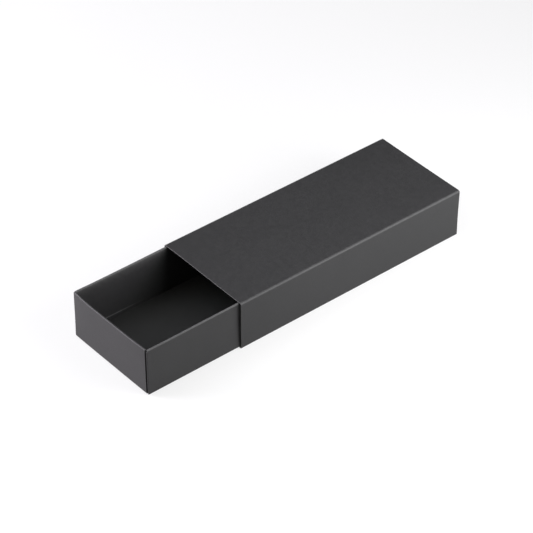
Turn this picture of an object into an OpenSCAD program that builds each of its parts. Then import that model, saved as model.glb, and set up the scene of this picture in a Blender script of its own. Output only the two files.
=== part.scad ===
// Drawer box folded from card: a tray with rolled double walls slides in an
// open-ended glued sleeve.
// X is the width, Y the length and Z up. The origin is the centre of the
// sleeve's underside, and the tray opens towards -Y.

/* [Card] */
// Thickness of the card
card_t = 0.5; // [0.35:0.05:0.6]
// Inside radius of a crease in the tray and at the glue flap
crease_r = 0.3; // [0.1:0.05:0.5]
// Inside radius of the sleeve's softer folds
fold_r = 0.7; // [0.3:0.1:1.5]

/* [Sleeve] */
// Length of the sleeve
sleeve_l = 160; // [100:1:240]
// Width over the sleeve
sleeve_w = 67; // [50:1:110]
// Height over the sleeve
sleeve_h = 32; // [22:0.2:60]
// Height of the glue flap up the inside of the left panel
glue_flap_h = 14; // [9:0.5:17]
// Distance from each mouth to the end of the glue flap's crease
glue_flap_setback = 1.5; // [0.5:0.5:4]
// How much more each end of the glue flap is cut back at its free edge
glue_flap_taper = 5; // [1:0.5:10]
// Thickness of the adhesive
glue_t = 0.1; // [0.05:0.01:0.2]
// Bare margin of the glue flap round the adhesive
glue_margin = 2; // [1:0.5:3]
// Height of the left panel's cut lower edge over the table
seam_lift = 0.1; // [0:0.05:0.3]

/* [Tray] */
// Play between the tray and the glue flap
side_play = 0.2; // [0.15:0.05:0.8]
// Play under the tray, and again over it
lift_play = 0.2; // [0.1:0.05:0.5]
// How far the closed tray stands back from each mouth
end_inset = 0.5; // [0:0.25:2]
// Air between the two layers of a side wall
side_gap = 0.4; // [0.1:0.05:1]
// How far the tray is drawn out of the sleeve
pulled_out = 63.8; // [0:0.2:90]

/* [Tray corners] */
// Play on each face of a corner flap, between the layers of an end wall
flap_play = 0.05; // [0.03:0.01:0.15]
// Space between the two corner flaps of one end
flap_parting = 10; // [2:1:20]
// Bevel at a corner flap's free corners
flap_bevel = 4; // [1:0.5:7]
// Relief between a corner flap and the creases above and below it
flap_relief = 0.2; // [0.1:0.05:0.5]
// How far an end wall's cut edges stand in from the side walls' faces
end_edge_inset = 0.6; // [0.05:0.05:0.9]
// Gap between an end wall and the lining of a side wall
corner_gap = 0.1; // [0.05:0.05:0.3]

/* [Lock tabs] */
// Width of a lock tab
tab_w = 12; // [6:0.5:16]
// Distance between the centres of an end's two lock tabs
tab_spacing = 30; // [20:1:32]
// Narrowing of a lock tab on each side at its tip
tab_taper = 0.3; // [0.1:0.1:0.8]
// Distance from a lock tab's tip to the tray's underside
tab_tip_inset = 0.05; // [0:0.05:0.2]
// Play of a lock tab in its floor slot, on every side
slot_play = 0.1; // [0.05:0.05:0.3]

/* [Hidden] */
$fn = 48;

card_black = [0.14, 0.14, 0.145];
liner_black = [0.1, 0.1, 0.105];
glue_white = [0.86, 0.85, 0.8];

crease_out = crease_r + card_t;
fold_out = fold_r + card_t;
cut = 1;

// Outer face of the glue flap, one layer of adhesive inside the left panel
glue_flap_x = -sleeve_w / 2 + card_t + glue_t;

// The tray clears the glue flap and stands in the middle of the sleeve
tray_w = 2 * (-glue_flap_x - card_t - side_play);
tray_l = sleeve_l - 2 * end_inset;
tray_h = sleeve_h - 2 * card_t - 2 * lift_play;
tray_y = tray_l / 2 - sleeve_l / 2 - pulled_out;
tray_z = card_t + lift_play;

// A side wall has two layers of card, and an end wall has a flap between them
side_wall_t = 2 * card_t + side_gap;
end_wall_t = 3 * card_t + 2 * flap_play;

// Half the length of each side wall between its corner creases
side_half = tray_l / 2 - card_t - flap_play - crease_out;
// Half the length of a side wall's lining at the rim, and lower down
side_liner_half = tray_l / 2 - end_wall_t - corner_gap;
side_liner_foot = tray_l / 2 - 2 * card_t - 2 * flap_play;
// Half the width of an end wall, and of its lining between the side linings
end_half = tray_w / 2 - end_edge_inset;
end_liner_half = tray_w / 2 - side_wall_t - corner_gap;

// The corner flaps, measured from the tray's underside
flap_bottom = crease_out + flap_relief;
flap_top = tray_h - end_wall_t / 2 - flap_relief;
flap_end = flap_parting / 2;

// A quarter of a ring about the origin, in the quadrant of +x and +y
module quarter_ring(inner_r) {
    outer_r = inner_r + card_t;
    intersection() {
        difference() {
            circle(outer_r);
            circle(inner_r);
        }
        square(outer_r);
    }
}

// An outline drawn as x and z becomes a solid that runs along Y
module along_y(length) {
    rotate([90, 0, 0]) linear_extrude(length, center = true) children();
}

// An outline drawn as y and z becomes card between x = 0 and x = -thickness
module sheet(thickness = card_t) {
    translate([-thickness, 0, 0])
        rotate([90, 0, 90]) linear_extrude(thickness) children();
}

module in_tray() {
    translate([0, tray_y, tray_z]) children();
}

// Tray wall with its outer face at x = 0: the crease to the floor, the outer
// layer and the rolled rim, whose ends are cut slanting from half_l at the
// outer face to rim_half_l at the lining
module rolled_wall(half_l, rim_half_l, wall_t) {
    rim_r = wall_t / 2;
    rim_inner_r = rim_r - card_t;
    rim_z = tray_h - rim_r;
    difference() {
        along_y(2 * half_l) {
            translate([-crease_out, crease_out]) rotate(-90) quarter_ring(crease_r);
            translate([-card_t, crease_out]) square([card_t, rim_z - crease_out]);
            translate([-rim_r, rim_z]) {
                quarter_ring(rim_inner_r);
                rotate(90) quarter_ring(rim_inner_r);
            }
        }
        for (side = [-1, 1]) scale([1, side, 1])
            translate([0, 0, rim_z]) linear_extrude(rim_r + cut) polygon([
                [0, half_l], [-wall_t, rim_half_l], [-wall_t - cut, rim_half_l],
                [-wall_t - cut, half_l + cut], [0, half_l + cut]
            ]);
    }
}

// Lining of a side wall: it hangs from the rim and stands on the floor, and
// its ends widen below the rim to reach the corner flaps
module side_liner() {
    top = tray_h - side_wall_t / 2;
    step = side_liner_foot - side_liner_half;
    translate([card_t - side_wall_t, 0, 0]) sheet() polygon([
        [-side_liner_half, top], [-side_liner_foot, top - step],
        [-side_liner_foot, card_t], [side_liner_foot, card_t],
        [side_liner_foot, top - step], [side_liner_half, top]
    ]);
}

// Lining of an end wall, with two tabs that lock into the floor's slots
module end_liner() {
    top = tray_h - end_wall_t / 2;
    translate([card_t - end_wall_t, 0, 0]) sheet() {
        translate([-end_liner_half, card_t])
            square([2 * end_liner_half, top - card_t]);
        for (side = [-1, 1]) translate([side * tab_spacing / 2, 0]) polygon([
            [-tab_w / 2, card_t], [tab_taper - tab_w / 2, tab_tip_inset],
            [tab_w / 2 - tab_taper, tab_tip_inset], [tab_w / 2, card_t]
        ]);
    }
}

// Corner flap at the end of a side wall whose outer face is at x = 0 and
// whose end is at y = -side_half: the crease, then the flap across the end
module corner_flap() {
    reach = tray_w / 2 - flap_end;
    translate([-crease_out, -side_half, 0]) {
        translate([0, 0, flap_bottom]) linear_extrude(flap_top - flap_bottom)
            rotate(-90) quarter_ring(crease_r);
        translate([0, -crease_out + card_t, 0])
            rotate([90, 0, 0]) linear_extrude(card_t) polygon([
                [0, flap_bottom], [0, flap_top],
                [crease_out + flap_bevel - reach, flap_top],
                [crease_out - reach, flap_top - flap_bevel],
                [crease_out - reach, flap_bottom + flap_bevel],
                [crease_out + flap_bevel - reach, flap_bottom]
            ]);
    }
}

// What is drawn against x = 0 goes to one of the tray's four sides
module at_right() { in_tray() translate([tray_w / 2, 0, 0]) children(); }
module at_left() { in_tray() translate([-tray_w / 2, 0, 0]) mirror([1, 0, 0]) children(); }
module at_front() { in_tray() translate([0, -tray_l / 2, 0]) rotate(-90) children(); }
module at_back() { in_tray() translate([0, tray_l / 2, 0]) rotate(90) children(); }
module back_to_front() { mirror([0, 1, 0]) children(); }

// Flat panel that the sleeve stands on
module sleeve_bottom_panel() {
    left = glue_flap_x + crease_out;
    color(card_black) translate([left, -sleeve_l / 2, 0])
        cube([sleeve_w / 2 - fold_out - left, sleeve_l, card_t]);
}

// Left panel with the fold above it; its lower edge is cut and covers the seam
module sleeve_left_panel() {
    color(card_black) translate([-sleeve_w / 2, 0, 0]) along_y(sleeve_l) {
        translate([0, seam_lift]) square([card_t, sleeve_h - fold_out - seam_lift]);
        translate([fold_out, sleeve_h - fold_out]) rotate(90) quarter_ring(fold_r);
    }
}

module sleeve_top_panel() {
    color(card_black) translate([fold_out - sleeve_w / 2, -sleeve_l / 2, sleeve_h - card_t])
        cube([sleeve_w - 2 * fold_out, sleeve_l, card_t]);
}

// Right panel with the folds above and below it
module sleeve_right_panel() {
    color(card_black) translate([sleeve_w / 2, 0, 0]) along_y(sleeve_l) {
        translate([-card_t, fold_out]) square([card_t, sleeve_h - 2 * fold_out]);
        translate([-fold_out, sleeve_h - fold_out]) quarter_ring(fold_r);
        translate([-fold_out, fold_out]) rotate(-90) quarter_ring(fold_r);
    }
}

// Flap creased up from the bottom panel, with tapered ends
module sleeve_glue_flap() {
    half_l = sleeve_l / 2 - glue_flap_setback;
    free_half_l = half_l - glue_flap_taper;
    color(card_black) translate([glue_flap_x, 0, 0]) {
        along_y(2 * half_l)
            translate([crease_out, crease_out]) rotate(180) quarter_ring(crease_r);
        translate([card_t, 0, 0]) sheet() polygon([
            [-half_l, crease_out], [half_l, crease_out],
            [free_half_l, glue_flap_h], [-free_half_l, glue_flap_h]
        ]);
    }
}

// Adhesive between the glue flap and the left panel
module sleeve_glue_line() {
    half_l = sleeve_l / 2 - glue_flap_setback - glue_flap_taper - glue_margin;
    bottom = crease_out + glue_margin;
    color(glue_white) translate([glue_flap_x - glue_t, -half_l, bottom])
        cube([glue_t, 2 * half_l, glue_flap_h - glue_margin - bottom]);
}

// Flat floor of the tray, with the slots that the end linings lock into
module tray_floor() {
    slot_l = tab_w + 2 * slot_play;
    slot_w = card_t + 2 * slot_play;
    liner_y = tray_l / 2 - end_wall_t + card_t / 2;
    color(card_black) in_tray() linear_extrude(card_t) difference() {
        square([tray_w - 2 * crease_out, tray_l - 2 * crease_out], center = true);
        for (x = [-1, 1] * tab_spacing / 2, y = [-1, 1] * liner_y)
            translate([x, y]) square([slot_l, slot_w], center = true);
    }
}

module tray_left_wall() {
    color(card_black) at_left() rolled_wall(side_half, side_liner_half, side_wall_t);
}

module tray_right_wall() {
    color(card_black) at_right() rolled_wall(side_half, side_liner_half, side_wall_t);
}

module tray_front_wall() {
    color(card_black) at_front() rolled_wall(end_half, end_liner_half, end_wall_t);
}

module tray_back_wall() {
    color(card_black) at_back() rolled_wall(end_half, end_liner_half, end_wall_t);
}

module tray_left_liner() { color(liner_black) at_left() side_liner(); }
module tray_right_liner() { color(liner_black) at_right() side_liner(); }
module tray_front_liner() { color(liner_black) at_front() end_liner(); }
module tray_back_liner() { color(liner_black) at_back() end_liner(); }

module tray_front_left_flap() { color(liner_black) at_left() corner_flap(); }
module tray_front_right_flap() { color(liner_black) at_right() corner_flap(); }
module tray_back_left_flap() { color(liner_black) at_left() back_to_front() corner_flap(); }
module tray_back_right_flap() { color(liner_black) at_right() back_to_front() corner_flap(); }

sleeve_bottom_panel();
sleeve_left_panel();
sleeve_top_panel();
sleeve_right_panel();
sleeve_glue_flap();
sleeve_glue_line();
tray_floor();
tray_left_wall();
tray_right_wall();
tray_front_wall();
tray_back_wall();
tray_left_liner();
tray_right_liner();
tray_front_liner();
tray_back_liner();
tray_front_left_flap();
tray_front_right_flap();
tray_back_left_flap();
tray_back_right_flap();
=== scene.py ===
import math

import bmesh
import bpy
from mathutils import Matrix, Vector, kdtree, noise


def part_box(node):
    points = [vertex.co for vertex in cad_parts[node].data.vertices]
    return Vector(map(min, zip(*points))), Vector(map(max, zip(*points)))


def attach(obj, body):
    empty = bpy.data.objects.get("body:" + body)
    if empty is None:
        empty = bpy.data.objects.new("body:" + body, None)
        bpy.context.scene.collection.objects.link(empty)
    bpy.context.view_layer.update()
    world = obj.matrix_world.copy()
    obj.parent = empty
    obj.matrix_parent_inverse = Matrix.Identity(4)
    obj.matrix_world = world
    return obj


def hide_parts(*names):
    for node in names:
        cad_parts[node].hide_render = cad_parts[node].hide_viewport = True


# Drawer box of matt black card on a pale studio floor.
# Every panel of the two blanks is modelled as a sheet of card with soft
# creases, and stands for the CAD solid of the same name.
# Sheets are drawn in millimetres and turned into metres at the end.

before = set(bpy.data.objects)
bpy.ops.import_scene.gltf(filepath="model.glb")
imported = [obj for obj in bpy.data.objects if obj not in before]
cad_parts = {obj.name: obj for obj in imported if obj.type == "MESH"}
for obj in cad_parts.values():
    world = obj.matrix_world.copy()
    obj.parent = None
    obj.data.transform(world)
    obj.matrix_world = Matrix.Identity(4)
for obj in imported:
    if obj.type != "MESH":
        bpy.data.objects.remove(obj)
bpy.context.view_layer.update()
MM = 0.001


def corners(node):
    lo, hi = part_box(node)
    return lo / MM, hi / MM


# Sizes read from the frame
top_lo, top_hi = corners("sleeve_top_panel")
right_hi = corners("sleeve_right_panel")[1]
left_lo = corners("sleeve_left_panel")[0]
bottom_lo, bottom_hi = corners("sleeve_bottom_panel")
glue_flap_lo, glue_flap_hi = corners("sleeve_glue_flap")
glue_lo, glue_hi = corners("sleeve_glue_line")
floor_lo, floor_hi = corners("tray_floor")
side_lo, side_hi = corners("tray_right_wall")
front_lo, front_hi = corners("tray_front_wall")
back_hi = corners("tray_back_wall")[1]
side_liner_lo, side_liner_hi = corners("tray_right_liner")
end_liner_lo, end_liner_hi = corners("tray_front_liner")
flap_lo, flap_hi = corners("tray_front_right_flap")

CARD = top_hi.z - top_lo.z
SLEEVE_X = right_hi.x
SLEEVE_Z = top_hi.z
SLEEVE_HALF = top_hi.y
FOLD = right_hi.x - top_hi.x
CREASE = bottom_lo.x - glue_flap_lo.x
SEAM_LIFT = left_lo.z

TRAY_X = side_hi.x
TRAY_Z = floor_lo.z
TRAY_TOP = side_hi.z
TRAY_MID = (front_lo.y + back_hi.y) / 2
TRAY_HALF = (back_hi.y - front_lo.y) / 2
SIDE_T = side_hi.x - side_lo.x
END_T = front_hi.y - front_lo.y
SIDE_HALF = (side_hi.y - side_lo.y) / 2
SIDE_LINER_HALF = (side_liner_hi.y - side_liner_lo.y) / 2
END_LINER_HALF = end_liner_hi.x
END_HALF = front_hi.x
FLAP_END = flap_lo.x
FLAP_BOTTOM = flap_lo.z
FLAP_TOP = flap_hi.z

# Sizes that the frame doesn't give, in millimetres
GLUE_FLAP_TAPER = 5.0
FLAP_BEVEL = 4.0
TAB_W = 12.0
TAB_SPACING = 30.0
TAB_TAPER = 0.3
SLOT_PLAY = 0.1
RIM_RELIEF = 0.6
FRONT_LEFT_EDGE = 0.3
FRONT_RIGHT_EDGE = 1.8
CORNER_ROUND = 0.2
END_RIM_T = 1.2
RIM_TAPER = 3.0
RIGHT_CORNER_INSET = 0.2
GLUE_INSET = 0.4
EDGE_ROUND = 0.07
STEP = 2.0
LINER_STEP = 0.8
FLAP_STEP = 1.0
WEAR_REACH = 0.35

# How near to an edge still counts as on it, in millimetres
AT_EDGE = 0.01
CUT_MARGIN = 0.1
RIM_MARGIN = 0.2


def mix(first, second, share):
    return first + (second - first) * share


def ease(value, lo, hi):
    share = min(max((value - lo) / (hi - lo), 0.0), 1.0)
    return share * share * (3 - 2 * share)


def hump(value, lo, hi):
    """0 at both limits and 1 half-way."""
    share = min(max((value - lo) / (hi - lo), 0.0), 1.0)
    return 4 * share * (1 - share)


def near(value, limit, band):
    """0 at the band's first depth below the limit, and 1 from its second depth on."""
    return ease(value, limit - band[0], limit - band[1])


# Profiles of the sheets
def line(start, end, wear_and_highlight=0.0, step=STEP, end_wear_and_highlight=0.0):
    """A profile lists (a, b, wear) along a sheet's outer face, with the card's body on the
    right-hand side of the way. The wear value is how worn the card is there together with a
    painted highlight, and the end value that of both ends, where the sheet goes on in a fold."""
    start, end = Vector(start), Vector(end)
    length = (end - start).length
    count = max(1, round((length - 2 * WEAR_REACH) / step))
    marks = [0.0]
    if length > 3 * WEAR_REACH:
        marks += [WEAR_REACH + k * (length - 2 * WEAR_REACH) / count for k in range(count + 1)]
    marks.append(length)
    points = [(*(start + (end - start) * (m / length)), wear_and_highlight) for m in marks]
    for k in (0, -1):
        points[k] = (*points[k][:2], max(wear_and_highlight, end_wear_and_highlight))
    return points


def arc(centre, radius, first, last, wear_and_highlight=1.0, count=8, peak=0.5, ends=(0.0, 0.0)):
    """first and last are angles in degrees. peak is the share of the arc where the card is rubbed
    most and its painted highlight is brightest, and ends the value of worn grey and painted
    highlight at its first and last point."""
    skew = math.log(0.5) / math.log(peak)
    points = []
    for k in range(count + 1):
        share = k / count
        angle = math.radians(first + (last - first) * share)
        fade = wear_and_highlight * math.sin(math.pi * share ** skew) ** 0.5
        least = mix(*ends, share)
        a = centre[0] + radius * math.cos(angle)
        b = centre[1] + radius * math.sin(angle)
        points.append((a, b, max(fade, least)))
    return points


def bend(start, end, count=6):
    """A soft S from start to end, level with the first coordinate at both."""
    shares = [k / count for k in range(count + 1)]
    return [(mix(start[0], end[0], s), mix(start[1], end[1], ease(s, 0, 1)), 0.0) for s in shares]


def joined(*parts):
    """One profile from several, without the points that repeat where they meet."""
    points = list(parts[0])
    for part in parts[1:]:
        a, b, wear_and_highlight = points.pop()
        points.append((a, b, max(wear_and_highlight, part[0][2])))
        points += part[1:]
    return points


def offsets(profile):
    """The card's inward direction at each point of a profile."""
    places = [Vector(p[:2]) for p in profile]
    result = []
    for k in range(len(places)):
        before = places[k] - places[max(k - 1, 0)]
        after = places[min(k + 1, len(places) - 1)] - places[k]
        way = before.normalized() + after.normalized()
        result.append(Vector((way.y, -way.x)).normalized())
    return result


SLEEVE_FIELDS = 72
SIDE_FIELDS = 96
END_FIELDS = 56
FLAP_FIELDS = 20


def stations(fields):
    """Marks from -1 to 1 that stand closer together near both ends."""
    return [-math.cos(math.pi * k / fields) for k in range(fields + 1)]


def marks_with(lo, hi, extra, step=STEP):
    """Marks from lo to hi, with the extra ones among them."""
    fixed = sorted({lo, hi, lo + WEAR_REACH, hi - WEAR_REACH, *extra})
    result = [fixed[0]]
    for start, end in zip(fixed, fixed[1:]):
        count = max(1, round((end - start) / step))
        result += [start + (end - start) * k / count for k in range(1, count + 1)]
    return result


# Small irregularities of folded card, in millimetres

# They all lie inside the sharp CAD solids. A band gives the depths behind a face between which its
# bow or sag sets in. The lean is given at the drawn-out end and at the mouth, and END_BULGE_TOP at
# the left and at the right.
SIDE_BAND = (6.0, 2.0)
TOP_BAND = (4.0, 1.0)
RIM_BAND = (3.0, 0.0)
SLEEVE_SIDE_BOW = 0.25
SLEEVE_BOW_AT_ENDS = 0.6
SEAM_SIDE_SHARE = 0.45
SLEEVE_TOP_SAG = 0.12
MOUTH_SKEW = 0.35
MOUTH_FLARE = 0.6
MOUTH_FLARE_POWER = 12
MOUTH_REACH = 30.0
TRAY_SIDE_BOW = 0.45
LEAN_LEFT = (0.28, 0.5)
LEAN_RIGHT = (0.18, 0.44)
LEAN_DIP = 0.15
LEAN_FOOT = 6.0
CORNER_RISE = 0.15
CORNER_RISE_REACH = 16.0
RIPPLE = 0.05
RIM_RIPPLE = 0.025
END_REACH = 30.0
END_BULGE_POWER = 4.0
END_RIGHT_BOTTOM = 1.67
END_RIGHT_TOP = 1.8
END_LEFT_BOTTOM = 0.0
END_LEFT_TOP = 0.7
END_BULGE_TOP = (1.1, 0.5)
END_BULGE_BOTTOM = 0.1

# Length of the waves and seed of each ripple
SLEEVE_SIDE_WAVES = (14.0, 1)
SLEEVE_TOP_WAVES = (22.0, 5)
TRAY_SIDE_WAVES = (12.0, 9)
TRAY_RIM_WAVES = (9.0, 3)
GLUE_WAVES = (2.0, 7)


def ripple(p, waves):
    size, seed = waves
    return noise.noise(Vector((p.x / size, p.y / size, p.z / size + seed)))


def warp_sleeve(p):
    side = near(abs(p.x), SLEEVE_X, SIDE_BAND)
    bow = SLEEVE_SIDE_BOW * mix(SLEEVE_BOW_AT_ENDS, 1.0, hump(p.y, -SLEEVE_HALF, SLEEVE_HALF))
    inward = hump(p.z, 0, SLEEVE_Z) * (bow + RIPPLE * (1 + ripple(p, SLEEVE_SIDE_WAVES)))
    inward *= 1.0 if p.x > 0 else SEAM_SIDE_SHARE
    p.x -= math.copysign(side * inward, p.x)
    sag = SLEEVE_TOP_SAG + RIPPLE * ripple(p, SLEEVE_TOP_WAVES)
    p.z -= sag * hump(p.x, -SLEEVE_X, SLEEVE_X) * near(p.z, SLEEVE_Z, TOP_BAND)
    leftwards = max(0.0, (SLEEVE_X - p.x) / (2 * SLEEVE_X))
    skew = MOUTH_SKEW * math.sqrt(leftwards) + MOUTH_FLARE * leftwards ** MOUTH_FLARE_POWER
    p.y -= skew * p.z / SLEEVE_Z * (1 - ease(p.y, -SLEEVE_HALF, -SLEEVE_HALF + MOUTH_REACH))
    return p


def end_inset(p):
    """How far the tray's drawn-out end stands in from the CAD plane.

    The end is a little out of square, and its middle bulges out."""
    rightwards = (p.x + TRAY_X) / (2 * TRAY_X)
    up = (p.z - TRAY_Z) / (TRAY_TOP - TRAY_Z)
    full = 1 - abs(2 * rightwards - 1) ** END_BULGE_POWER
    bottom = mix(END_LEFT_BOTTOM, END_RIGHT_BOTTOM, rightwards) - END_BULGE_BOTTOM * full
    top = mix(END_LEFT_TOP, END_RIGHT_TOP, rightwards) - mix(*END_BULGE_TOP, rightwards) * full
    return max(0.0, mix(bottom, top, up))


def lean(p):
    """How far the walls lean to the left: most at the sleeve's mouth, and not at all further in."""
    front = TRAY_MID - TRAY_HALF
    along = ease(p.y, front, -SLEEVE_HALF)
    left = mix(*LEAN_LEFT, along) - LEAN_DIP * hump(p.y, front, -SLEEVE_HALF)
    right = mix(*LEAN_RIGHT, along)
    held = 1 - ease(p.y, -SLEEVE_HALF, -SLEEVE_HALF + MOUTH_REACH)
    return held * mix(left, right, (p.x + TRAY_X) / (2 * TRAY_X)) * ease(p.z, LEAN_FOOT, TRAY_TOP)


def corner_rise(p):
    """The rims stand up a little towards the corners of the drawn-out end."""
    near_side = ease(abs(p.x), TRAY_X - CORNER_RISE_REACH, TRAY_X)
    near_end = ease(TRAY_MID - p.y, TRAY_HALF - CORNER_RISE_REACH, TRAY_HALF)
    return CORNER_RISE * near_side * near_end * near(p.z, TRAY_TOP, TOP_BAND)


def warp_tray(p):
    rise = corner_rise(p)
    leaning = lean(p)
    front = TRAY_MID - TRAY_HALF
    side = near(abs(p.x), TRAY_X, SIDE_BAND)
    bow = TRAY_SIDE_BOW * hump(p.y, front, TRAY_MID + TRAY_HALF)
    inward = hump(p.z, TRAY_Z, TRAY_TOP) * (bow + RIPPLE * (1 + ripple(p, TRAY_SIDE_WAVES)))
    inward += RIM_RIPPLE * (1 + ripple(p, TRAY_RIM_WAVES)) * near(p.z, TRAY_TOP, RIM_BAND)
    p.x -= math.copysign(side * inward, p.x) + leaning
    p.z += rise
    p.y += end_inset(p) * (1 - ease(p.y, front + END_T, front + END_REACH))
    return p


# Mesh of a sheet
CUT_WEAR = 0.75
CREASE_ANGLE = math.radians(50)


def sheet(
    name, slot, body, profile, along, reach, place, warp, is_cut,
    keep=None, shade=None, unshadowed_share=None, thickness=CARD,
):
    """Card along a profile.

    along gives the marks from -1 to 1, or in millimetres where reach is None. reach(a, b) gives
    the lowest and highest place along the crease, and place(a, b, t) turns these into a point.
    is_cut(a, b, t) says whether an edge at that place was cut, and not creased. keep(i, j) says
    which fields of the grid are card. shade gives the painted shade in a seam, and the function
    after it the share of the profile's worn grey and painted highlight that shows at a place, the
    rest being faded out as a painted shadow."""
    inward = offsets(profile)
    mesh = bmesh.new()
    wear_and_highlight_layer = mesh.verts.layers.float.new("wear_and_highlight")
    shade_layer = mesh.verts.layers.float.new("shade")
    cut_layer = mesh.edges.layers.int.new("cut")
    rows, cols = len(profile), len(along)

    def spot(i, j, depth):
        a = profile[i][0] + inward[i].x * depth
        b = profile[i][1] + inward[i].y * depth
        if reach is None:
            return a, b, along[j]
        lo, hi = reach(a, b)
        return a, b, lo + (hi - lo) * (along[j] + 1) / 2

    def vertex(i, j, depth):
        a, b, t = spot(i, j, depth)
        v = mesh.verts.new(place(a, b, t))
        v[wear_and_highlight_layer] = profile[i][2] * (unshadowed_share(a, b, t) if unshadowed_share else 1.0)
        v[shade_layer] = shade(a, b, t) if shade else 0.0
        return v

    faces = [(i, j) for i in range(rows - 1) for j in range(cols - 1) if keep is None or keep(i, j)]
    used = {(i + di, j + dj) for i, j in faces for di in (0, 1) for dj in (0, 1)}
    outer = {key: vertex(*key, 0.0) for key in used}
    inner = {key: vertex(*key, thickness) for key in used}
    kept = set(faces)
    for i, j in faces:
        ring = [(i, j), (i + 1, j), (i + 1, j + 1), (i, j + 1)]
        mesh.faces.new([outer[k] for k in ring])
        mesh.faces.new([inner[k] for k in reversed(ring)])
        neighbours = [(i, j - 1), (i + 1, j), (i, j + 1), (i - 1, j)]
        for k in range(4):
            if neighbours[k] in kept:
                continue
            first, second = ring[k], ring[(k + 1) % 4]
            mesh.faces.new([outer[second], outer[first], inner[first], inner[second]])
            middle = [(x + y) / 2 for x, y in zip(spot(*first, 0.0), spot(*second, 0.0))]
            if is_cut(*middle):
                for layer in (outer, inner):
                    edge = mesh.edges.get((layer[first], layer[second]))
                    edge[cut_layer] = 1
                    for v in edge.verts:
                        v[wear_and_highlight_layer] = max(v[wear_and_highlight_layer], CUT_WEAR)
    finish = [(v[wear_and_highlight_layer], v[shade_layer]) for v in mesh.verts]
    tree = kdtree.KDTree(len(finish))
    for k, v in enumerate(mesh.verts):
        tree.insert(v.co, k)
    tree.balance()
    rounded = [e for e in mesh.edges if e[cut_layer]]
    bmesh.ops.bevel(mesh, geom=rounded, offset=EDGE_ROUND, segments=2, profile=0.5, affect="EDGES")
    for v in mesh.verts:
        v[wear_and_highlight_layer], v[shade_layer] = finish[tree.find(v.co)[1]]
    bmesh.ops.recalc_face_normals(mesh, faces=mesh.faces)
    for v in mesh.verts:
        v.co = warp(v.co) * MM
    for f in mesh.faces:
        f.smooth = True
    for e in mesh.edges:
        e.smooth = e.calc_face_angle(0.0) < CREASE_ANGLE
    data = bpy.data.meshes.new(name)
    mesh.to_mesh(data)
    mesh.free()
    piece = bpy.data.objects.new("card_" + name, data)
    bpy.context.scene.collection.objects.link(piece)
    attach(piece, body)
    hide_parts(name)
    data.materials.append(materials[slot])


# Materials

# A noise has its cells per metre, detail and roughness, and a bump its strength and its height in
# metres
CLOUDS = (45.0, 4.0, 0.55)
MOTTLE = (420.0, 3.0, 0.6)
GRAIN = (2600.0, 3.0, 0.6)
FIBRES = (6000.0, 2.0, 0.5)
GLUE_BLOBS = (300.0, 2.0, 0.5)
GRAIN_STRETCH = (1.0, 0.3, 1.0)
CLOUD_RANGE = (0.35, 0.65)
NOISE_RANGE = (0.3, 0.7)
CLOUD_SHARE = 0.25
MOTTLE_SHARE = 0.75
CARD_SPECULAR = 0.25
CARD_ROUGHNESS = (0.58, 0.66)
WORN_SMOOTHNESS = 0.12
WEAR_AND_HIGHLIGHT_PATCHES = (0.75, 1.1)
COARSE_BUMP = (0.14, 0.00025)
FINE_BUMP = (0.25, 0.00006)
GLUE_BUMP = (1.0, 0.0001)
GLUE_ROUGHNESS = (0.25, 0.45)

SLEEVE_LIGHT = (0.0226, 0.0226, 0.0229)
SLEEVE_DARK = (0.0174, 0.0174, 0.0177)
TRAY_LIGHT = (0.0226, 0.0225, 0.0228)
TRAY_DARK = (0.0174, 0.0173, 0.0176)
# Grey of worn card, also laid on as a painted highlight along folds, rims and the linings' tops
WORN_AND_HIGHLIGHT_GREY = (0.1, 0.1, 0.1)
# Painted shade: the colour that darkens the seams beside the tray's corners
SEAM_PAINTED_SHADE = (0.002, 0.002, 0.002)
GLUE_THIN = (0.5, 0.47, 0.4)
GLUE_THICK = (0.7, 0.68, 0.61)


def node(tree, kind, **values):
    made = tree.nodes.new(kind)
    for key, value in values.items():
        setattr(made, key, value)
    return made


def noise_at(tree, coordinates, scale, detail, roughness):
    made = node(tree, "ShaderNodeTexNoise")
    made.inputs["Scale"].default_value = scale
    made.inputs["Detail"].default_value = detail
    made.inputs["Roughness"].default_value = roughness
    tree.links.new(coordinates, made.inputs["Vector"])
    return made.outputs["Fac"]


def ranged(tree, value, spread, result=(0.0, 1.0)):
    """The value's spread turned into the range of the result."""
    made = node(tree, "ShaderNodeMapRange")
    for key, number in zip(("From Min", "From Max", "To Min", "To Max"), (*spread, *result)):
        made.inputs[key].default_value = number
    tree.links.new(value, made.inputs["Value"])
    return made.outputs["Result"]


def calculated(tree, operation, first, second):
    made = node(tree, "ShaderNodeMath", operation=operation)
    for k, value in enumerate((first, second)):
        if isinstance(value, (int, float)):
            made.inputs[k].default_value = value
        else:
            tree.links.new(value, made.inputs[k])
    return made.outputs[0]


# A mix node has its sockets once for each kind of data, and these are the ones for colours
MIX_SHARE = 0
MIX_COLOURS = (6, 7)
MIX_RESULT = 2


def blended(tree, share, first, second):
    made = node(tree, "ShaderNodeMix", data_type="RGBA")
    tree.links.new(share, made.inputs[MIX_SHARE])
    for k, value in zip(MIX_COLOURS, (first, second)):
        if isinstance(value, tuple):
            made.inputs[k].default_value = (*value, 1.0)
        else:
            tree.links.new(value, made.inputs[k])
    return made.outputs[MIX_RESULT]


def bumped(tree, height, bump, under=None):
    """A bump's normal, laid over the normal of another one where that is given."""
    made = node(tree, "ShaderNodeBump")
    made.inputs["Strength"].default_value, made.inputs["Distance"].default_value = bump
    tree.links.new(height, made.inputs["Height"])
    if under is not None:
        tree.links.new(under, made.inputs["Normal"])
    return made.outputs["Normal"]


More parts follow.
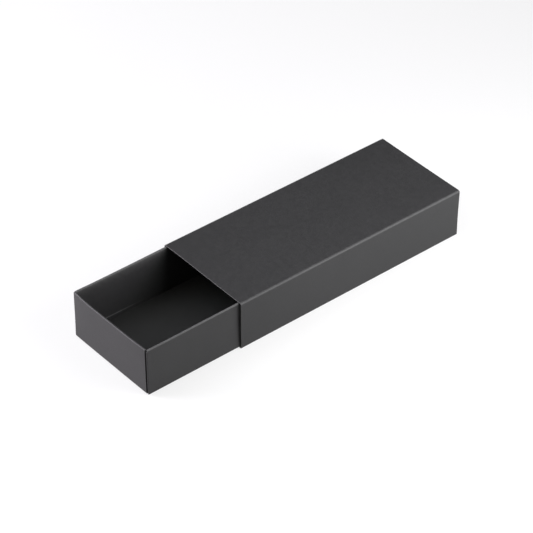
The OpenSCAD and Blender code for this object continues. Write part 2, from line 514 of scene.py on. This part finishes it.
def card_material(name, light, dark):
    """Matt card dyed black: cloudy, with paper grain, and greyer where it is folded or cut, with
    painted highlights along folds and rims and painted shade in the seams.
    """
    material = bpy.data.materials.new(name)
    material.use_nodes = True
    tree = material.node_tree
    shader = tree.nodes["Principled BSDF"]
    shader.inputs["Specular IOR Level"].default_value = CARD_SPECULAR
    place = node(tree, "ShaderNodeTexCoord").outputs["Object"]
    grain_place = node(tree, "ShaderNodeMapping")
    grain_place.inputs["Scale"].default_value = GRAIN_STRETCH
    tree.links.new(place, grain_place.inputs["Vector"])
    clouds = noise_at(tree, place, *CLOUDS)
    mottle = noise_at(tree, place, *MOTTLE)
    grain = noise_at(tree, grain_place.outputs["Vector"], *GRAIN)
    fibres = noise_at(tree, place, *FIBRES)

    cloudy = calculated(tree, "MULTIPLY", ranged(tree, clouds, CLOUD_RANGE), CLOUD_SHARE)
    speckled = calculated(tree, "MULTIPLY", ranged(tree, mottle, NOISE_RANGE), MOTTLE_SHARE)
    colour = blended(tree, calculated(tree, "ADD", cloudy, speckled), dark, light)

    # The worn grey marks folds, rims and cut edges, and with it a painted highlight on folds, rims
    # and the linings' tops
    wear_and_highlight = node(tree, "ShaderNodeAttribute", attribute_name="wear_and_highlight").outputs["Fac"]
    wear_and_highlight = calculated(tree, "MULTIPLY", wear_and_highlight, ranged(tree, mottle, NOISE_RANGE, WEAR_AND_HIGHLIGHT_PATCHES))
    colour = blended(tree, wear_and_highlight, colour, WORN_AND_HIGHLIGHT_GREY)
    # Painted shade: the seams beside the tray's corners are darkened in the colour
    shade = node(tree, "ShaderNodeAttribute", attribute_name="shade").outputs["Fac"]
    colour = blended(tree, shade, colour, SEAM_PAINTED_SHADE)
    tree.links.new(colour, shader.inputs["Base Color"])

    rough = ranged(tree, mottle, NOISE_RANGE, CARD_ROUGHNESS)
    smoother = calculated(tree, "MULTIPLY", wear_and_highlight, WORN_SMOOTHNESS)
    tree.links.new(calculated(tree, "SUBTRACT", rough, smoother), shader.inputs["Roughness"])

    coarse = bumped(tree, mottle, COARSE_BUMP)
    fine = bumped(tree, calculated(tree, "ADD", grain, fibres), FINE_BUMP, coarse)
    tree.links.new(fine, shader.inputs["Normal"])
    return material


def glue_material():
    """Dried white glue: milky, satin, with thin and thick places."""
    material = bpy.data.materials.new("adhesive")
    material.use_nodes = True
    tree = material.node_tree
    shader = tree.nodes["Principled BSDF"]
    place = node(tree, "ShaderNodeTexCoord").outputs["Object"]
    blobs = noise_at(tree, place, *GLUE_BLOBS)
    colour = blended(tree, ranged(tree, blobs, NOISE_RANGE), GLUE_THIN, GLUE_THICK)
    tree.links.new(colour, shader.inputs["Base Color"])
    tree.links.new(ranged(tree, blobs, NOISE_RANGE, GLUE_ROUGHNESS), shader.inputs["Roughness"])
    tree.links.new(bumped(tree, blobs, GLUE_BUMP), shader.inputs["Normal"])
    return material


materials = {
    "sleeve_card": card_material("sleeve_card", SLEEVE_LIGHT, SLEEVE_DARK),
    "tray_card": card_material("tray_card", TRAY_LIGHT, TRAY_DARK),
    "adhesive": glue_material(),
}


# Sleeve: profiles are drawn as x and z, clockwise seen from the drawn-out end
def in_sleeve(a, b, t):
    return Vector((a, t, b))


def full_length(a, b):
    return -SLEEVE_HALF, SLEEVE_HALF


def at_mouth(a, b, t):
    return abs(t) > SLEEVE_HALF - AT_EDGE


sleeve_stations = stations(SLEEVE_FIELDS)
# Folds are greyed where worn and carry a painted highlight, brightest towards the top
FOLD_WEAR_AND_HIGHLIGHT = 0.34
FOLD_EDGE_WEAR_AND_HIGHLIGHT = 0.15
FOLD_PEAK = 0.35


def sleeve_piece(name, profile, reach=full_length, is_cut=at_mouth):
    sheet(
        name, "sleeve_card", "sleeve", profile, sleeve_stations, reach, in_sleeve, warp_sleeve,
        is_cut,
    )


def top_fold(side):
    """The soft fold between a side panel and the top, drawn clockwise."""
    centre = (side * (SLEEVE_X - FOLD), SLEEVE_Z - FOLD)
    if side < 0:
        peak, ends = 1 - FOLD_PEAK, (0.0, FOLD_EDGE_WEAR_AND_HIGHLIGHT)
        return arc(centre, FOLD, 180, 90, FOLD_WEAR_AND_HIGHLIGHT, peak=peak, ends=ends)
    return arc(centre, FOLD, 90, 0, FOLD_WEAR_AND_HIGHLIGHT, peak=FOLD_PEAK, ends=(FOLD_EDGE_WEAR_AND_HIGHLIGHT, 0.0))


sleeve_piece("sleeve_left_panel", joined(
    line((-SLEEVE_X, SEAM_LIFT), (-SLEEVE_X, SLEEVE_Z - FOLD)),
    top_fold(-1),
), is_cut=lambda a, b, t: at_mouth(a, b, t) or b < SEAM_LIFT + AT_EDGE)
sleeve_piece(
    "sleeve_top_panel",
    line((top_lo.x, SLEEVE_Z), (top_hi.x, SLEEVE_Z), end_wear_and_highlight=FOLD_EDGE_WEAR_AND_HIGHLIGHT),
)
sleeve_piece("sleeve_right_panel", joined(
    top_fold(1),
    line((SLEEVE_X, SLEEVE_Z - FOLD), (SLEEVE_X, FOLD)),
    arc((SLEEVE_X - FOLD, FOLD), FOLD, 0, -90, FOLD_WEAR_AND_HIGHLIGHT),
))
sleeve_piece("sleeve_bottom_panel", line((bottom_hi.x, 0), (bottom_lo.x, 0)))


def glue_flap_reach(a, b):
    rise = max(0.0, (b - CREASE) / (glue_flap_hi.z - CREASE))
    half = glue_flap_hi.y - GLUE_FLAP_TAPER * rise
    return -half, half


sleeve_piece("sleeve_glue_flap", joined(
    arc((bottom_lo.x, CREASE), CREASE, 270, 180, FOLD_WEAR_AND_HIGHLIGHT),
    line((glue_flap_lo.x, CREASE), (glue_flap_lo.x, glue_flap_hi.z)),
), reach=glue_flap_reach, is_cut=lambda a, b, t: b > CREASE - CUT_MARGIN)


def glue_reach(a, b):
    """The film ends a little inside the flap, unevenly at the drawn-out end."""
    uneven = 1 + ripple(Vector((a, 0, b)), GLUE_WAVES)
    return glue_lo.y + GLUE_INSET * uneven, glue_hi.y - GLUE_INSET


sheet(
    "sleeve_glue_line", "adhesive", "sleeve", line((glue_lo.x, glue_lo.z), (glue_lo.x, glue_hi.z)),
    sleeve_stations, glue_reach, in_sleeve, warp_sleeve, lambda a, b, t: False,
    thickness=glue_hi.x - glue_lo.x,
)

# Tray: the floor, with slots for the lock tabs
slot_edges_x = [k * TAB_SPACING / 2 + m * (TAB_W / 2 + SLOT_PLAY) for k in (-1, 1) for m in (-1, 1)]
slot_middle_y = TRAY_HALF - END_T + CARD / 2
slot_half_y = CARD / 2 + SLOT_PLAY
slot_edges_y = [k * slot_middle_y + m * slot_half_y for k in (-1, 1) for m in (-1, 1)]
floor_marks_x = marks_with(floor_lo.x, floor_hi.x, slot_edges_x)
floor_marks_y = marks_with(floor_lo.y - TRAY_MID, floor_hi.y - TRAY_MID, slot_edges_y)


def in_slot(x, y):
    near_x = abs(abs(x) - TAB_SPACING / 2) < TAB_W / 2 + SLOT_PLAY
    near_y = abs(abs(y) - slot_middle_y) < slot_half_y
    return near_x and near_y


def floor_kept(i, j):
    x = -(floor_marks_x[i] + floor_marks_x[i + 1]) / 2
    y = (floor_marks_y[j] + floor_marks_y[j + 1]) / 2
    return not in_slot(x, y)


def inside_floor(a, b, t):
    """Only the slots' edges were cut: the floor's own edges are creases."""
    return abs(a) < floor_hi.x - CUT_MARGIN and abs(t) < floor_hi.y - TRAY_MID - CUT_MARGIN


floor_profile = [(-x, TRAY_Z, 0.0) for x in floor_marks_x]
sheet(
    "tray_floor", "tray_card", "tray", floor_profile, floor_marks_y, None,
    lambda a, b, t: Vector((a, TRAY_MID + t, b)), warp_tray, inside_floor, keep=floor_kept,
)

# Tray walls, drawn as the depth behind the outer face and the height
# Rims are greyed where worn and carry a painted highlight, the linings have a painted highlight
# under the rim, and the seams at the corners painted shade
SIDE_RIM_WEAR_AND_HIGHLIGHT = 0.7
SIDE_RIM_PEAK = 0.6
END_RIM_WEAR_AND_HIGHLIGHT = 0.08
END_RIM_PEAK = 0.3
RIM_POINTS = 14
LINER_TOP_HIGHLIGHT = 0.5
FOOT_WEAR = 0.15
SIDE_CUT_REACH = 3.0
END_CUT_REACH = 1.0
SEAM_SHADE = 0.9
SEAM_SHADE_REACH = 0.1
NOTCH_SHADE_REACH = 0.06


def wall_profile(wall_t, rim_wear_and_highlight, peak, lining_highlight):
    rim_r = wall_t / 2
    rim_b = TRAY_TOP - rim_r
    return joined(
        arc((CREASE, TRAY_Z + CREASE), CREASE, 270, 180, FOOT_WEAR),
        line((0, TRAY_Z + CREASE), (0, rim_b)),
        arc((rim_r, rim_b), rim_r, 180, 0, rim_wear_and_highlight, RIM_POINTS, peak, (0.0, lining_highlight)),
    )


def wall_reach(first_half, last_half, rim_half, wall_t):
    """The rim's ends are mitred, from both halves at the outer face to rim_half at the lining."""
    def reach(a, b):
        slant = ease(b, TRAY_TOP - wall_t / 2 - RIM_RELIEF, TRAY_TOP - wall_t / 2)
        inside = slant * min(max(a / wall_t, 0.0), 1.0)
        return -mix(first_half, rim_half, inside), mix(last_half, rim_half, inside)
    return reach


def beside(side):
    return lambda a, b, t: Vector((side * (TRAY_X - a), TRAY_MID + t, b))


def across(end):
    return lambda a, b, t: Vector((t, TRAY_MID + end * (TRAY_HALF - a), b))


def side_wall_cut(a, b, t):
    """The side walls go on as corner flaps between the flaps' lower and upper edges."""
    return abs(t) > SIDE_LINER_HALF - SIDE_CUT_REACH and not FLAP_BOTTOM < b < FLAP_TOP


def end_wall_cut(a, b, t):
    return abs(t) > END_LINER_HALF - END_CUT_REACH


def edge_shade(left_half, right_half):
    """Painted shade: the end walls' cut edges are darkened in the colour, down in the seam beside
    the corner crease.
    """
    def shade(a, b, t):
        half = left_half if t < 0 else right_half
        rim = ease(b, TRAY_TOP - END_T, TRAY_TOP - END_T / 2)
        return SEAM_SHADE * ease(abs(t), half - SEAM_SHADE_REACH, half) * (1 - rim)
    return shade


# The right corner's sharp fold stands out nearly as far as the end wall, which was cut short there
corner_half = SIDE_HALF + CREASE - CORNER_ROUND
side_walls = {
    "right": (1, TRAY_HALF - CORNER_ROUND - RIGHT_CORNER_INSET),
    "left": (-1, corner_half),
}
end_walls = {
    "front": (-1, TRAY_X - FRONT_LEFT_EDGE, TRAY_X - FRONT_RIGHT_EDGE),
    "back": (1, END_HALF, END_HALF),
}
side_profile = wall_profile(SIDE_T, SIDE_RIM_WEAR_AND_HIGHLIGHT, SIDE_RIM_PEAK, LINER_TOP_HIGHLIGHT)
end_profile = wall_profile(END_RIM_T, END_RIM_WEAR_AND_HIGHLIGHT, END_RIM_PEAK, 0.0)
side_stations = stations(SIDE_FIELDS)
end_stations = stations(END_FIELDS)
for side_name, (side, front_half) in side_walls.items():
    sheet(
        f"tray_{side_name}_wall", "tray_card", "tray", side_profile, side_stations,
        wall_reach(front_half, corner_half, SIDE_LINER_HALF, SIDE_T), beside(side), warp_tray,
        side_wall_cut,
    )
for end_name, (end, left_half, right_half) in end_walls.items():
    sheet(
        f"tray_{end_name}_wall", "tray_card", "tray", end_profile, end_stations,
        wall_reach(left_half, right_half, END_LINER_HALF, END_RIM_T), across(end), warp_tray,
        end_wall_cut, shade=edge_shade(left_half, right_half),
    )

# Linings: they hang from the rim and stand on the floor
FLOOR_TOP = TRAY_Z + CARD
# How fast the painted highlight under the rim fades down the lining, in millimetres
LINER_FADE = 1.8
LINER_CREASE = 2.4
LINER_CREASE_WEAR = 0.9
LINER_CREASE_WIDTH = 0.4
LINER_CREASE_BAND = (1.0, 3.0)
# Where the crease's light line fades out as a painted shadow of the sleeve, in millimetres from the
# front end
LINER_CREASE_FADE = (18.0, 50.0)
LINER_FOOT_INSET = 0.05
side_liner_top = TRAY_TOP - SIDE_T / 2
end_liner_top = TRAY_TOP - END_RIM_T / 2


def side_liner_profile():
    """The lining has a painted highlight under the rim, and a light crease above its foot."""
    above = FLOOR_TOP + LINER_CREASE + LINER_CREASE_WIDTH / 2
    below = above - LINER_CREASE_WIDTH
    face = [
        (a, b, LINER_TOP_HIGHLIGHT * math.exp((b - side_liner_top) / LINER_FADE))
        for a, b, _ in line((SIDE_T, side_liner_top), (SIDE_T, above + WEAR_REACH), step=LINER_STEP)
    ]
    return face + [
        (SIDE_T, above, LINER_CREASE_WEAR),
        (SIDE_T, below, LINER_CREASE_WEAR),
        (SIDE_T - LINER_FOOT_INSET / 4, below - WEAR_REACH, 0.0),
        (SIDE_T - LINER_FOOT_INSET, FLOOR_TOP, 0.0),
    ]


def crease_unshadowed_share(a, b, t):
    """The crease above the foot shows at the tray's front end, and is faded out before the sleeve
    as a painted shadow of the sleeve.
    """
    crease_b = FLOOR_TOP + LINER_CREASE
    near_foot = 1 - ease(b, *(crease_b + up for up in LINER_CREASE_BAND))
    return 1 - near_foot * ease(t, *(way - TRAY_HALF for way in LINER_CREASE_FADE))


def side_liner_reach(a, b):
    """The lining is mitred at the rim, and reaches the corner flap behind the end wall."""
    flap_inside = TRAY_HALF - 2 * CARD - (END_T - 3 * CARD)
    half = min(flap_inside, SIDE_LINER_HALF + side_liner_top - b)
    return -half, half


def side_liner_cut(a, b, t):
    """The lining's ends were cut, between the rim and the foot."""
    return FLOOR_TOP + CUT_MARGIN < b < side_liner_top - RIM_MARGIN


for side_name, side in (("right", 1), ("left", -1)):
    sheet(
        f"tray_{side_name}_liner", "tray_card", "tray", side_liner_profile(), side_stations,
        side_liner_reach, beside(side), warp_tray, side_liner_cut, unshadowed_share=crease_unshadowed_share,
    )

tab_edges = [k * TAB_SPACING / 2 + m * TAB_W / 2 for k in (-1, 1) for m in (-1, 1)]
end_liner_marks = marks_with(-END_LINER_HALF, END_LINER_HALF, tab_edges)
rim_taper = bend((end_liner_top, END_RIM_T), (end_liner_top - RIM_TAPER, END_T), 4)
end_liner_profile = joined(
    [(a, b, wear_and_highlight) for b, a, wear_and_highlight in rim_taper],
    line((END_T, end_liner_top - RIM_TAPER), (END_T, FLOOR_TOP)),
    line((END_T, FLOOR_TOP), (END_T, end_liner_lo.z)),
)


def end_liner_kept(i, j):
    height = (end_liner_profile[i][1] + end_liner_profile[i + 1][1]) / 2
    middle = (end_liner_marks[j] + end_liner_marks[j + 1]) / 2
    return height > FLOOR_TOP or abs(abs(middle) - TAB_SPACING / 2) < TAB_W / 2


def tapered(place):
    """The tabs narrow a little towards their tips."""
    def narrowed(a, b, t):
        if b < FLOOR_TOP:
            middle = math.copysign(TAB_SPACING / 2, t)
            shrink = 1 - 2 * TAB_TAPER / TAB_W * (FLOOR_TOP - b) / (FLOOR_TOP - end_liner_lo.z)
            t = middle + (t - middle) * shrink
        return place(a, b, t)
    return narrowed


def end_liner_cut(a, b, t):
    return b < end_liner_top - RIM_MARGIN


for end_name, end in (("front", -1), ("back", 1)):
    sheet(
        f"tray_{end_name}_liner", "tray_card", "tray", end_liner_profile, end_liner_marks, None,
        tapered(across(end)), warp_tray, end_liner_cut, keep=end_liner_kept,
    )

# Corner flaps, drawn as the depth behind the side wall and the way towards the end
flap_end_a = TRAY_X - FLAP_END
flap_b = SIDE_HALF + CREASE
FLAP_TURN = 1.7
FLAP_CREASE_WEAR = 0.05


def flap_profile(half):
    """half is where the side wall ends, and the flap turns off it."""
    return joined(
        arc((CORNER_ROUND, half), CORNER_ROUND, 180, 90, FLAP_CREASE_WEAR),
        bend((CORNER_ROUND, half + CORNER_ROUND), (FLAP_TURN, flap_b)),
        line((FLAP_TURN, flap_b), (flap_end_a - FLAP_BEVEL, flap_b)),
        line((flap_end_a - FLAP_BEVEL, flap_b), (flap_end_a, flap_b), step=FLAP_STEP),
    )


def flap_reach(a, b):
    bevel = max(0.0, a - flap_end_a + FLAP_BEVEL)
    return FLAP_BOTTOM + bevel, FLAP_TOP - bevel


def at_corner(side, end):
    return lambda a, b, t: Vector((side * (TRAY_X - a), TRAY_MID + end * b, t))


def notch_shade(a, b, t):
    """Painted shade: the crease is darkened in the colour where it turns in behind the end wall."""
    return SEAM_SHADE * ease(a, 0.0, NOTCH_SHADE_REACH)


def flap_cut(a, b, t):
    return a > CUT_MARGIN


flap_stations = stations(FLAP_FIELDS)
for end_name, end in (("front", -1), ("back", 1)):
    for side_name, (side, front_half) in side_walls.items():
        sheet(
            f"tray_{end_name}_{side_name}_flap", "tray_card", "tray",
            flap_profile(front_half if end < 0 else corner_half), flap_stations, flap_reach,
            at_corner(side, end), warp_tray, flap_cut, shade=notch_shade,
        )


# Floor of the studio, in metres
STUDIO_HALF = 3.0
STUDIO_FIELDS = 12
STUDIO_GREY = (0.2, 0.2, 0.2, 1.0)
STUDIO_ROUGHNESS = 0.9
STUDIO_GLOW = 0.68
WHITE = (1.0, 1.0, 1.0, 1.0)


def studio_floor():
    mesh = bmesh.new()
    bmesh.ops.create_grid(
        mesh, x_segments=STUDIO_FIELDS, y_segments=STUDIO_FIELDS, size=STUDIO_HALF,
    )
    data = bpy.data.meshes.new("studio_floor")
    mesh.to_mesh(data)
    mesh.free()
    floor = bpy.data.objects.new("studio_floor", data)
    bpy.context.scene.collection.objects.link(floor)
    material = bpy.data.materials.new("studio_floor")
    material.use_nodes = True
    shader = material.node_tree.nodes["Principled BSDF"]
    shader.inputs["Base Color"].default_value = STUDIO_GREY
    shader.inputs["Roughness"].default_value = STUDIO_ROUGHNESS
    shader.inputs["Emission Color"].default_value = WHITE
    shader.inputs["Emission Strength"].default_value = STUDIO_GLOW
    data.materials.append(material)


studio_floor()


def direction(azimuth, elevation):
    """From the box towards a light or a camera. Azimuth 0 faces the drawn-out end."""
    return Vector((
        math.sin(azimuth) * math.cos(elevation),
        -math.cos(azimuth) * math.cos(elevation),
        math.sin(elevation),
    ))


# Lights
def softbox(name, place, aim, width, power, tint):
    """A square softbox of a width in metres and a power in watts."""
    lamp = bpy.data.lights.new(name, "AREA")
    lamp.size = width
    lamp.energy = power
    lamp.color = tint
    holder = bpy.data.objects.new(name, lamp)
    holder.location = place
    holder.rotation_mode = "QUATERNION"
    holder.rotation_quaternion = (aim - place).to_track_quat("-Z", "Y")
    holder.visible_camera = False
    bpy.context.scene.collection.objects.link(holder)


LIGHT_AIM = Vector((0.0, -0.03, 0.015))
FAR = (1.1, 0.6)
CLOSE = (0.3, 0.16)
WORLD_GLOW = 0.2

# Azimuth and elevation in degrees, distance and width in metres, power in watts, and tint
SOFTBOXES = {
    "front_left_low": (315, 8, FAR, 34.3, (1.02, 0.95, 1.05)),
    "front_left_high": (315, 45, FAR, 4.9, (0.92, 0.975, 1.06)),
    "front_left_top": (315, 70, FAR, 2.5, (1.01, 1.0, 1.02)),
    "front_high": (0, 45, FAR, 1.55, (1.06, 1.06, 0.9)),
    "right_high": (100, 40, CLOSE, 0.65, (0.98, 1.01, 1.0)),
    "right_low": (120, 25, CLOSE, 0.81, (1.02, 0.95, 1.03)),
    "back_right_low": (140, 8, CLOSE, 0.31, (0.95, 1.08, 0.97)),
}
for light_name, (azimuth, elevation, (distance, width), power, tint) in SOFTBOXES.items():
    way = direction(math.radians(azimuth), math.radians(elevation))
    softbox(light_name, LIGHT_AIM + way * distance, LIGHT_AIM, width, power, tint)
world = bpy.data.worlds.new("studio")
world.use_nodes = True
world.node_tree.nodes["Background"].inputs["Color"].default_value = WHITE
world.node_tree.nodes["Background"].inputs["Strength"].default_value = WORLD_GLOW
bpy.context.scene.world = world
bpy.context.scene.view_settings.view_transform = "Standard"

# Camera, fitted to the box's edges in the photograph
CAMERA_AZIMUTH = math.radians(50.6027)
CAMERA_ELEVATION = math.radians(38.8312)
CAMERA_ROLL = math.radians(0.1885)
CAMERA_AIM = Vector((-0.01580, -0.02227, -0.00240))
CAMERA_DISTANCE = 1.22568
CAMERA_LENS = 144.899
CAMERA_CLIP_END = 20.0
camera = bpy.data.objects.new("camera", bpy.data.cameras.new("camera"))
camera_back = direction(CAMERA_AZIMUTH, CAMERA_ELEVATION)
turn = camera_back.to_track_quat("Z", "Y").to_matrix() @ Matrix.Rotation(CAMERA_ROLL, 3, "Z")
camera.matrix_world = Matrix.Translation(CAMERA_AIM + camera_back * CAMERA_DISTANCE) @ turn.to_4x4()
camera.data.lens = CAMERA_LENS
camera.data.clip_end = CAMERA_CLIP_END
bpy.context.scene.collection.objects.link(camera)
bpy.context.scene.camera = camera
